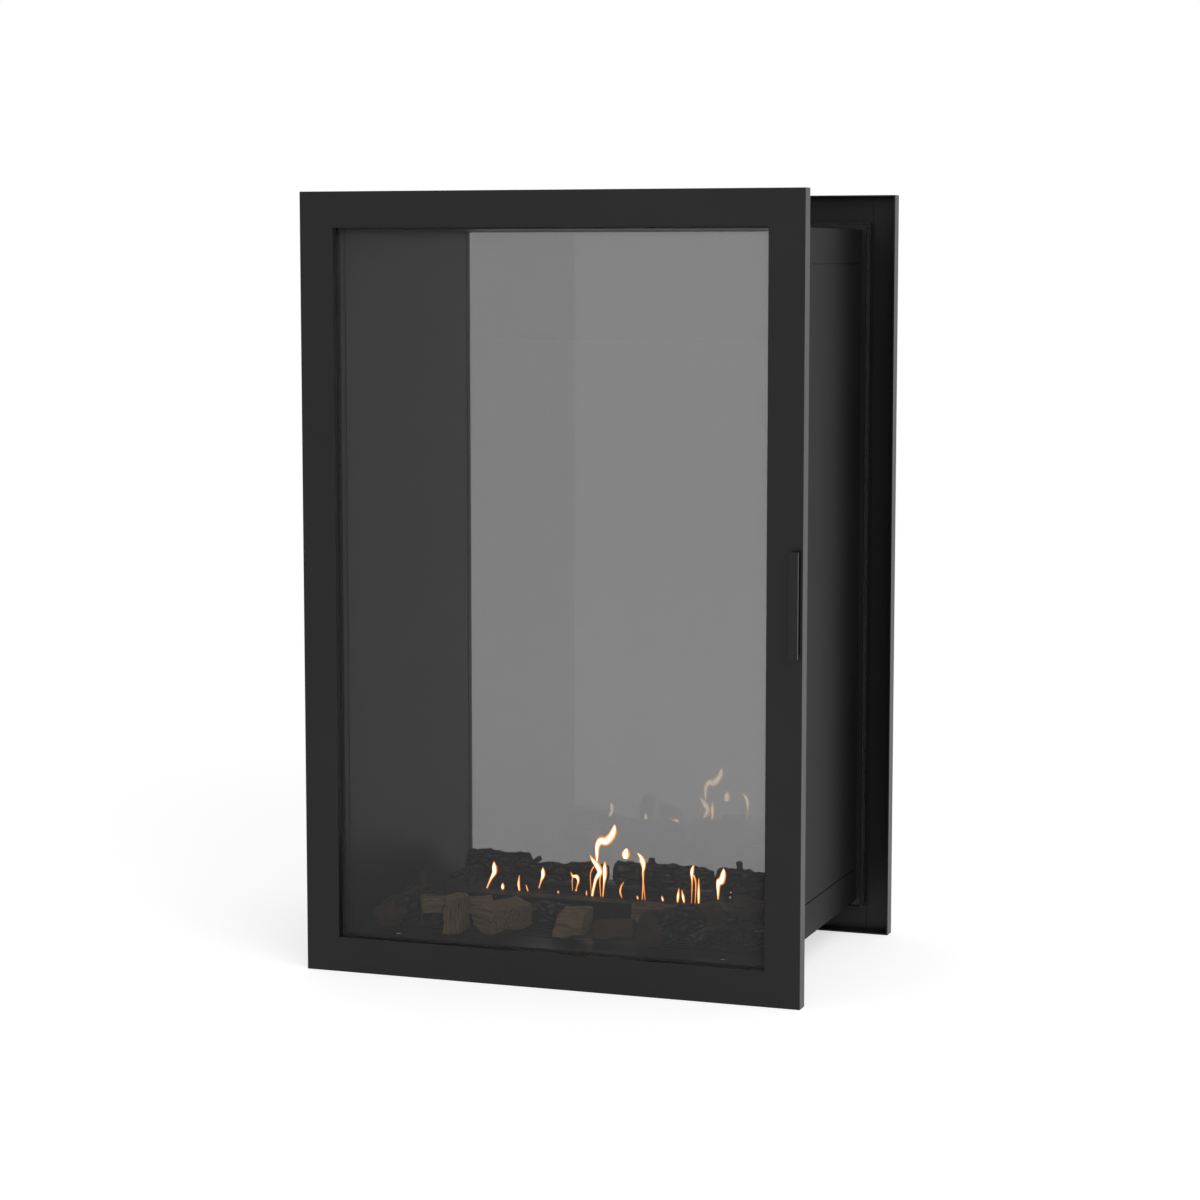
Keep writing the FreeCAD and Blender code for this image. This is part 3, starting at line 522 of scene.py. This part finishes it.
def burner_steel(finish):
    """Heat-darkened steel, brushed along the burner and stained in patches."""
    material, add, link, shader = new_material("burner_steel")
    brush = noise_level(add, link, object_points(add, link, BRUSH_STRETCH), 1.0, 3.0)
    stain = noise_level(add, link, object_points(add, link), 26.0, 5.0)
    steel = tuple(finish.burner)
    brown = (steel[0] * 1.1, steel[1] * 0.8, steel[2] * 0.6)
    stops = ((0.35, shade(steel, 0.6)), (0.55, steel), (0.75, brown))
    link(blend_ramp(add, link, stain, stops), shader.inputs["Base Color"])
    link(value_range(add, link, brush, 0.5, 0.68), shader.inputs["Roughness"])
    shader.inputs["Specular IOR Level"].default_value = 0.18
    link(bump_over(add, link, brush, 0.25, 0.0001).outputs["Normal"], shader.inputs["Normal"])
    return material


def woven_seal():
    """Dark glass-fibre tape and rope with a tight weave."""
    material, add, link, shader = new_material("woven_seal")
    texture = add("ShaderNodeTexWave", Scale=420.0, Distortion=1.5, bands_direction="DIAGONAL")
    link(object_points(add, link), texture.inputs["Vector"])
    weave = texture.outputs["Fac"]
    stops = ((0.2, (0.003, 0.003, 0.003)), (0.8, (0.011, 0.011, 0.0105)))
    link(blend_ramp(add, link, weave, stops), shader.inputs["Base Color"])
    shader.inputs["Roughness"].default_value = 0.9
    shader.inputs["Specular IOR Level"].default_value = 0.1
    link(bump_over(add, link, weave, 0.3, 0.0002).outputs["Normal"], shader.inputs["Normal"])
    return material


def speckled(name, tones, scale, roughness):
    """A matte material with fine speckles of two tones, for the magnets and the burner's wool."""
    material, add, link, shader = new_material(name)
    grains = noise_level(add, link, object_points(add, link), scale, 6.0)
    stops = tuple(zip((0.35, 0.65), tones))
    link(blend_ramp(add, link, grains, stops), shader.inputs["Base Color"])
    shader.inputs["Roughness"].default_value = roughness
    link(bump_over(add, link, grains, 0.4, 0.0006).outputs["Normal"], shader.inputs["Normal"])
    return material


# Logs

class LogForm:
    """What a log's CAD mesh says about its length, its ends and its split faces."""

    WELD = 1e-6
    FLAT_TRIANGLES = 4
    SAME_PLANE = 0.99995
    SPLIT_EDGE = 1.7
    SPLIT_FACING = 0.93

    def __init__(self, mesh):
        self.mesh = bmesh.new()
        self.mesh.from_mesh(mesh)
        bmesh.ops.remove_doubles(self.mesh, verts=self.mesh.verts, dist=self.WELD)
        bmesh.ops.triangulate(self.mesh, faces=self.mesh.faces)
        self.mesh.normal_update()
        self.mesh.faces.ensure_lookup_table()
        flats = sorted(self.flat_groups(), key=lambda group: -sum(face.calc_area() for face in group))
        self.ends = [group for group in flats if len(group) >= self.FLAT_TRIANGLES]
        self.axis = self.ends[0][0].normal.copy()
        self.split_normals = self.find_split_normals()
        self.kinds = [self.kind_of(face) for face in self.mesh.faces]
        self.tree = BVHTree.FromBMesh(self.mesh)

    def flat_groups(self):
        """Groups of neighbouring triangles that lie in one plane."""
        seen = set()
        groups = []
        for first in self.mesh.faces:
            if first.index in seen:
                continue
            seen.add(first.index)
            group = [first]
            for face in group:
                for edge in face.edges:
                    for other in edge.link_faces:
                        level = other.normal.dot(first.normal) > self.SAME_PLANE
                        if level and other.index not in seen:
                            seen.add(other.index)
                            group.append(other)
            groups.append(group)
        return groups

    def find_split_normals(self):
        """The directions that the split faces look in, from the two long edges of the end's outline."""
        end = set(self.ends[0])
        rim = [edge for face in end for edge in face.edges
               if sum(1 for other in edge.link_faces if other in end) == 1]
        rim = sorted(set(rim), key=lambda edge: -edge.calc_length())
        middle_length = rim[len(rim) // 2].calc_length()
        if rim[1].calc_length() < self.SPLIT_EDGE * middle_length:
            return []
        normals = []
        for edge in rim[:2]:
            outside = [face for face in edge.link_faces if face not in end]
            normals.append(outside[0].normal.copy())
        return normals

    def kind_of(self, face):
        """Whether a face is a sawn end, a split face or bark."""
        if any(face in group for group in self.ends):
            return SAWN
        if any(face.normal.dot(normal) > self.SPLIT_FACING for normal in self.split_normals):
            return SPLIT
        return BARK

    def kind_at(self, point):
        """The kind of surface nearest to a point."""
        return self.kinds[self.tree.find_nearest(point)[2]]


def fine_copy(source, name, cell):
    """A closed, evenly meshed copy of a CAD node."""
    copy = bpy.data.objects.new(name, source.data.copy())
    bpy.context.collection.objects.link(copy)
    copy.data.materials.clear()
    remesh = copy.modifiers.new("cells", "REMESH")
    remesh.mode = "VOXEL"
    remesh.voxel_size = cell
    graph = bpy.context.evaluated_depsgraph_get()
    mesh = bpy.data.meshes.new_from_object(copy.evaluated_get(graph))
    copy.modifiers.clear()
    copy.data = mesh
    mesh.name = name
    return copy


def seed_shift(seed, steps):
    """How far the noise of one log is moved from that of the first."""
    return Vector([seed * step for step in steps])


def along_and_across(point, axis, seed):
    """Coordinates that run along a log and across it, moved apart for each log."""
    along = point.dot(axis)
    across = point - along * axis
    return along, across + seed_shift(seed, GRAIN_SHIFT)


def stretched(along, across, axis, scales):
    """A noise point with one scale across a log and one along it."""
    return across * scales[0] + axis * along * scales[1]


def bark_relief(point, axis, seed):
    """Furrowed bark from 0 in a crack to 1 on a plate: long rough plates with crooked cracks between them."""
    along, across = along_and_across(point, axis, seed)
    warp = CRACK_WARP * noise.noise_vector(point * WARP_SCALE + across * WARP_DRIFT)
    near, far = noise.voronoi(stretched(along, across, axis, BARK_PLATES) + warp)[0][:2]
    plate = min(1.0, (far - near) / CRACK_WIDTH)
    crust = noise.noise(stretched(along, across, axis, BARK_CRUST))
    flakes = noise.noise(stretched(along, across, axis, BARK_FLAKES))
    level = 0.56 * plate + 0.20 + 0.26 * crust + 0.14 * flakes
    return max(0.0, min(1.0, level))


def grain_relief(point, axis, seed):
    """Torn fibres of a split face: fine ribs along the log with a few long steps."""
    along, across = along_and_across(point, axis, seed)
    ribs = noise.noise(stretched(along, across, axis, GRAIN_RIBS))
    steps = noise.noise(stretched(along, across, axis, GRAIN_STEPS))
    splinters = noise.noise(stretched(along, across, axis, GRAIN_SPLINTERS))
    return max(0.0, min(1.0, 0.42 + 0.30 * ribs + 0.30 * splinters + 0.40 * (steps > 0.10)))


def saw_relief(point):
    """Rough sawn wood from 0 to 1."""
    return 0.5 + 0.5 * noise.noise(point * SAW_SCALE)


def knots(point, seed):
    """Broad knots and hollows from -1 to 1."""
    place = seed_shift(seed, KNOT_SHIFT)
    return 0.60 * noise.noise(point * KNOT_SCALE + place) + 0.40 * noise.noise(point * BURL_SCALE + place)


def relieve(log, form, logs, seed, peeled):
    """Press the bark, grain and saw relief into a log, and store what each point is."""
    mesh = log.data
    cut = mesh.attributes.new("cut", "FLOAT", "POINT")
    height = mesh.attributes.new("height", "FLOAT", "POINT")
    run = mesh.attributes.new("run", "FLOAT_VECTOR", "POINT")
    moves = []
    lump = logs.lump * (SPLIT_LUMP if form.split_normals else 1.0)
    for vertex in mesh.vertices:
        kind = form.kind_at(vertex.co)
        if peeled and kind == BARK:
            kind = SPLIT
        swell = lump * knots(vertex.co, seed)
        if kind == BARK:
            level = bark_relief(vertex.co, form.axis, seed)
            press = logs.bark_depth * (level - BARK_DATUM) + swell
        else:
            split = kind == SPLIT
            level = grain_relief(vertex.co, form.axis, seed) if split else saw_relief(vertex.co)
            press = logs.grain_depth * (level - WOOD_DATUM) + WOOD_LUMP * swell
        moves.append(vertex.normal * press)
        along, across = along_and_across(vertex.co, form.axis, seed)
        cut.data[vertex.index].value = float(kind != BARK)
        height.data[vertex.index].value = level
        run.data[vertex.index].vector = across + form.axis * along * STREAK_LENGTH
    for vertex, move in zip(mesh.vertices, moves):
        vertex.co += move
    for face in mesh.polygons:
        face.use_smooth = True
    mesh.update()


def ceramic_log(name, bark, wood):
    """Painted ceramic: crusty bark with painted shade in its cracks, painted highlights on its plates and
    pale scale, and split faces with streaked grain.
    """
    material, add, link, shader = new_material(name)
    cut = add("ShaderNodeAttribute", attribute_name="cut").outputs["Fac"]
    height = add("ShaderNodeAttribute", attribute_name="height").outputs["Fac"]
    run = add("ShaderNodeAttribute", attribute_name="run").outputs["Vector"]
    points = object_points(add, link)
    mottle = noise_level(add, link, points, 64.0, 6.0, 0.7)
    scale = noise_level(add, link, points, 210.0, 4.0, 0.7)
    streaks = noise_level(add, link, run, 380.0, 5.0, 0.65)
    # Painted shade and highlight: the bark goes nearly black deep in its cracks and much lighter on the
    # crests of its plates
    depths = ((0.14, 0.05), (0.46, 0.55), (0.70, 1.4), (0.93, 3.4))
    crust = blend_ramp(add, link, height, [(place, shade(bark, factor)) for place, factor in depths])
    patch = blend_ramp(add, link, mottle, ((0.32, (0.45, 0.45, 0.45)), (0.70, (1.0, 0.98, 0.95))))
    # The painted shade and highlight, times random mottled patches
    shaded_and_mottled = add("ShaderNodeMix", data_type="RGBA", blend_type="MULTIPLY")
    shaded_and_mottled.inputs["Factor"].default_value = 1.0
    link(crust, shaded_and_mottled.inputs["A"])
    link(patch, shaded_and_mottled.inputs["B"])
    # Pale scale flakes, mixed in more where the bark stands higher, so partly a painted highlight on the
    # crests
    pale = blend_ramp(add, link, scale, ((0.54, (0, 0, 0)), (0.66, (0.20, 0.195, 0.170))))
    bark_colour = add("ShaderNodeMix", data_type="RGBA", blend_type="ADD")
    link(height, bark_colour.inputs["Factor"])
    link(shaded_and_mottled.outputs["Result"], bark_colour.inputs["A"])
    link(pale, bark_colour.inputs["B"])
    depths = ((0.28, 0.16), (0.45, 0.66), (0.58, 1.0), (0.80, 1.35))
    wood_colour = blend_ramp(add, link, streaks, [(place, shade(wood, factor)) for place, factor in depths])
    colour = add("ShaderNodeMix", data_type="RGBA")
    link(cut, colour.inputs["Factor"])
    link(bark_colour.outputs["Result"], colour.inputs["A"])
    link(wood_colour, colour.inputs["B"])
    link(colour.outputs["Result"], shader.inputs["Base Color"])
    link(value_range(add, link, mottle, 0.72, 0.95), shader.inputs["Roughness"])
    shader.inputs["Specular IOR Level"].default_value = 0.3
    flakes = bump_over(add, link, scale, 0.8, 0.0022)
    fibres = bump_over(add, link, streaks, 0.7, 0.0010)
    link(flakes.outputs["Normal"], fibres.inputs["Normal"])
    link(fibres.outputs["Normal"], shader.inputs["Normal"])
    return material


# Flames

def curve_value(before, start, end, after, share):
    """A value of a smooth curve, at a share of the way from its start to its end."""
    bend = 2 * before - 5 * start + 4 * end - after
    twist = 3 * start - before - 3 * end + after
    return 0.5 * (2 * start + (end - before) * share + bend * share ** 2 + twist * share ** 3)


def smooth_line(points, steps):
    """A smooth line through points, with a number of steps between each two."""
    ends = [points[0], *points, points[-1]]
    line = []
    for stretch in zip(ends, ends[1:], ends[2:], ends[3:]):
        for step in range(steps):
            line.append(tuple(curve_value(*values, step / steps) for values in zip(*stretch)))
    line.append(tuple(points[-1]))
    return line


def flame_mesh(name, base, points, width):
    """A tongue of flame: lens-shaped sections along a swaying line, warmest where it is widest."""
    mesh = bmesh.new()
    warmth = mesh.verts.layers.float.new("warmth")
    line = smooth_line(points, FLAME_STEPS)
    rows = []
    for index, (x, z, wide) in enumerate(line):
        before = line[max(0, index - 1)]
        after = line[min(len(line) - 1, index + 1)]
        along = Vector((after[0] - before[0], 0, after[1] - before[1])).normalized()
        across = Vector((along.z, 0, -along.x))
        reach = max(THIN_FLAME, width * wide / 2) * MM
        if index == len(line) - 1:
            reach *= FLAME_TIP
        centre = base + Vector((x, 0, z)) * MM
        middle = min(1.0, THREAD_WARMTH + reach / HOT_REACH)
        row = []
        for side in range(FLAME_SIDES):
            angle = 2 * math.pi * side / FLAME_SIDES
            sideways = across * reach * math.cos(angle)
            deep = Vector((0, FLAME_DEPTH * reach * math.sin(angle), 0))
            vertex = mesh.verts.new(centre + sideways + deep)
            vertex[warmth] = math.sin(angle) ** 2 * middle
            row.append(vertex)
        rows.append(row)
    for low, high in zip(rows, rows[1:]):
        for side in range(FLAME_SIDES):
            after = (side + 1) % FLAME_SIDES
            mesh.faces.new((low[side], low[after], high[after], high[side]))
    mesh.faces.new(list(reversed(rows[0])))
    mesh.faces.new(rows[-1])
    for face in mesh.faces:
        face.smooth = True
    data = bpy.data.meshes.new(name)
    mesh.to_mesh(data)
    mesh.free()
    return data


def flame_glow(fire):
    """Glowing gas: pale in the middle and orange along the edge."""
    material, add, link, shader = new_material("flame_glow")
    warmth = add("ShaderNodeAttribute", attribute_name="warmth").outputs["Fac"]
    core = tuple(fire.core)
    edge = tuple(fire.edge)
    amber = tuple(cool + share * (hot - cool) for cool, hot, share in zip(edge, core, AMBER_SHARE))
    stops = ((0.24, edge), (0.56, amber), (0.88, core))
    link(blend_ramp(add, link, warmth, stops), shader.inputs["Emission Color"])
    shader.inputs["Emission Strength"].default_value = fire.strength
    shader.inputs["Base Color"].default_value = (0, 0, 0, 1)
    shader.inputs["Specular IOR Level"].default_value = 0
    return material


# Operators

class FIREPLACE_OT_metalwork(bpy.types.Operator):
    """Coat the frames, the handle and the casing"""

    bl_idname = "fireplace.metalwork"
    bl_label = "Coat Frames and Casing"

    def execute(self, context):
        finish = context.scene.fireplace_finish
        satin = finish.coat_roughness
        wear(FRAME_NODES, powder_coat("frame_coat", finish, finish.frame_gloss, satin))
        wear(CASING_NODES, powder_coat("casing_inside", finish, finish.casing_gloss, satin))
        # One coat in two copies: the outer faces' copy has far less gloss, a painted shade that dims their
        # reflections in place of darker surroundings
        outside = powder_coat("casing_outside_shaded", finish, finish.outside_shaded_gloss, finish.outside_roughness)
        low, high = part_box("left_side_panel")
        middle = (low[2] + high[2]) / 2
        wear_on_faces(CASING_NODES, outside, lambda face: looks_outwards(face, middle))
        return {"FINISHED"}


class FIREPLACE_OT_panes(bpy.types.Operator):
    """Glaze the door and the rear frame"""

    bl_idname = "fireplace.panes"
    bl_label = "Glaze Panes"

    def execute(self, context):
        finish = context.scene.fireplace_finish
        wear(PANE_NODES, tinted_pane("tinted_pane", finish))
        wear_on_faces(("rear_glass",), mirror_pane(finish), looks_forwards)
        wear(SEAL_NODES, woven_seal())
        return {"FINISHED"}


class FIREPLACE_OT_fittings(bpy.types.Operator):
    """Blacken the clips, hinges, catches and brackets"""

    bl_idname = "fireplace.fittings"
    bl_label = "Blacken Fittings"

    def execute(self, context):
        wear(FITTING_NODES, black_zinc(context.scene.fireplace_finish))
        wear(("catch_magnets",), speckled("magnet", MAGNET_TONES, 900.0, 0.6))
        return {"FINISHED"}


class FIREPLACE_OT_burner(bpy.types.Operator):
    """Finish the burner and its wool"""

    bl_idname = "fireplace.burner"
    bl_label = "Finish Burner"

    def execute(self, context):
        wear(BURNER_NODES, burner_steel(context.scene.fireplace_finish))
        wear(("burner_wool",), speckled("burner_wool", WOOL_TONES, 700.0, 1.0))
        return {"FINISHED"}


class FIREPLACE_OT_logs(bpy.types.Operator):
    """Carve and paint the ceramic logs"""

    bl_idname = "fireplace.logs"
    bl_label = "Carve Logs"

    def execute(self, context):
        logs = context.scene.fireplace_logs
        noise.seed_set(NOISE_SEED)
        for seed, (node, (bark, wood)) in enumerate(LOG_TONES.items()):
            form = LogForm(NODES[node].data)
            log = fine_copy(NODES[node], node + "_carved", logs.cell)
            relieve(log, form, logs, seed, bark is None)
            log.data.materials.append(ceramic_log(node + "_glaze", bark or wood, wood))
            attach(log, "casing")
            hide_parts(node)
        return {"FINISHED"}


class FIREPLACE_OT_flames(bpy.types.Operator):
    """Light the flames over the burner's slits"""

    bl_idname = "fireplace.flames"
    bl_label = "Light Flames"

    def execute(self, context):
        fire = context.scene.fireplace_fire
        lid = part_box("burner_lid")
        top = lid[1][2]
        middle = (lid[0][1] + lid[1][1]) / 2
        glow = flame_glow(fire)
        for index, (form, place, slit, foot, height, width, lean) in enumerate(FLAMES):
            name = "flame_{:02d}".format(index + 1)
            base = Vector((place, slit * SLIT_PITCH, foot)) * MM + Vector((0, middle, top))
            shares = FLAME_FORMS[form]
            points = [(lean * side * height, up * height, wide * width) for up, side, wide in shares]
            mesh = flame_mesh(name, base, points, fire.width)
            mesh.materials.append(glow)
            flame = bpy.data.objects.new(name, mesh)
            context.collection.objects.link(flame)
            flame.visible_diffuse = False
            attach(flame, "casing")
        return {"FINISHED"}


class FIREPLACE_OT_studio(bpy.types.Operator):
    """Set up the floor, the soft light and the camera"""

    bl_idname = "fireplace.studio"
    bl_label = "Set Up Studio"

    def execute(self, context):
        studio = context.scene.fireplace_studio
        self.floor(context, studio)
        self.light(context, studio)
        self.camera(context, studio)
        context.scene.view_settings.view_transform = "Standard"
        return {"FINISHED"}

    def floor(self, context, studio):
        """A wide pale floor under the frames, white to the camera but for the object's shadow."""
        level = CAD_BOX[0][2]
        mesh = bpy.data.meshes.new("studio_floor")
        corners = [(side * FLOOR_REACH, end * FLOOR_REACH, level)
                   for side, end in ((-1, -1), (1, -1), (1, 1), (-1, 1))]
        mesh.from_pydata(corners, [], [(0, 1, 2, 3)])
        floor = bpy.data.objects.new("studio_floor", mesh)
        context.collection.objects.link(floor)
        material, add, link, shader = new_material("studio_floor")
        shader.inputs["Base Color"].default_value = (studio.floor, studio.floor, studio.floor, 1)
        shader.inputs["Roughness"].default_value = 0.9
        shader.inputs["Emission Color"].default_value = WHITE
        seen = seen_rays(material.node_tree)
        glow = add("ShaderNodeMath", operation="MULTIPLY")
        glow.inputs[1].default_value = studio.floor_glow
        link(seen, glow.inputs[0])
        link(glow.outputs[0], shader.inputs["Emission Strength"])
        mesh.materials.append(material)

    def light(self, context, studio):
        """White surroundings for what is seen, softer light for what is lit, and one large lamp."""
        world = bpy.data.worlds.new("studio")
        world.use_nodes = True
        tree = world.node_tree
        tree.nodes.clear()
        output = tree.nodes.new("ShaderNodeOutputWorld")
        mix = tree.nodes.new("ShaderNodeMixShader")
        soft = tree.nodes.new("ShaderNodeBackground")
        white = tree.nodes.new("ShaderNodeBackground")
        soft.inputs["Color"].default_value = WHITE
        soft.inputs["Strength"].default_value = studio.ambient
        white.inputs["Color"].default_value = WHITE
        white.inputs["Strength"].default_value = 1.0
        tree.links.new(seen_rays(tree), mix.inputs[0])
        tree.links.new(soft.outputs[0], mix.inputs[1])
        tree.links.new(white.outputs[0], mix.inputs[2])
        tree.links.new(mix.outputs[0], output.inputs[0])
        context.scene.world = world
        lamp = bpy.data.lights.new("soft_lamp", "AREA")
        lamp.shape = "RECTANGLE"
        lamp.size, lamp.size_y = LAMP_SIZE
        lamp.energy = studio.key
        rig = bpy.data.objects.new("soft_lamp", lamp)
        rig.location = LAMP_PLACE
        aim = Vector(LAMP_AIM) - rig.location
        rig.rotation_euler = aim.to_track_quat("-Z", "Y").to_euler()
        context.collection.objects.link(rig)

    def camera(self, context, studio):
        """A camera at the photograph's angle."""
        lens = bpy.data.cameras.new("camera")
        lens.lens = studio.lens
        lens.sensor_width = SENSOR_WIDTH
        camera = bpy.data.objects.new("camera", lens)
        camera.location = studio.station
        camera.rotation_euler = (math.pi / 2 - studio.tilt, 0, studio.heading)
        context.collection.objects.link(camera)
        context.scene.camera = camera


class FIREPLACE_PT_panel(bpy.types.Panel):
    """The fireplace's settings and steps"""

    bl_idname = "FIREPLACE_PT_panel"
    bl_label = "Ethanol Fireplace"
    bl_space_type = "VIEW_3D"
    bl_region_type = "UI"
    bl_category = "Fireplace"

    def draw(self, context):
        for holder in SETTINGS:
            box = self.layout.box()
            settings = getattr(context.scene, holder)
            for key in settings.__annotations__:
                box.prop(settings, key)
        for step in STEPS:
            self.layout.operator(step.bl_idname)


SETTINGS = {
    "fireplace_finish": FireplaceFinish,
    "fireplace_logs": FireplaceLogs,
    "fireplace_fire": FireplaceFire,
    "fireplace_studio": FireplaceStudio,
}
STEPS = (
    FIREPLACE_OT_metalwork,
    FIREPLACE_OT_panes,
    FIREPLACE_OT_fittings,
    FIREPLACE_OT_burner,
    FIREPLACE_OT_logs,
    FIREPLACE_OT_flames,
    FIREPLACE_OT_studio,
)


def register():
    """Register the settings, the steps and the panel."""
    for holder, group in SETTINGS.items():
        bpy.utils.register_class(group)
        setattr(bpy.types.Scene, holder, bpy.props.PointerProperty(type=group))
    for step in STEPS:
        bpy.utils.register_class(step)
    bpy.utils.register_class(FIREPLACE_PT_panel)


def unregister():
    """Take the panel, the steps and the settings away again."""
    bpy.utils.unregister_class(FIREPLACE_PT_panel)
    for step in reversed(STEPS):
        bpy.utils.unregister_class(step)
    for holder, group in reversed(SETTINGS.items()):
        delattr(bpy.types.Scene, holder)
        bpy.utils.unregister_class(group)


def main():
    """Dress the fireplace and set up the studio."""
    register()
    bpy.ops.fireplace.metalwork()
    bpy.ops.fireplace.panes()
    bpy.ops.fireplace.fittings()
    bpy.ops.fireplace.burner()
    bpy.ops.fireplace.logs()
    bpy.ops.fireplace.flames()
    bpy.ops.fireplace.studio()


if __name__ == "__main__":
    main()
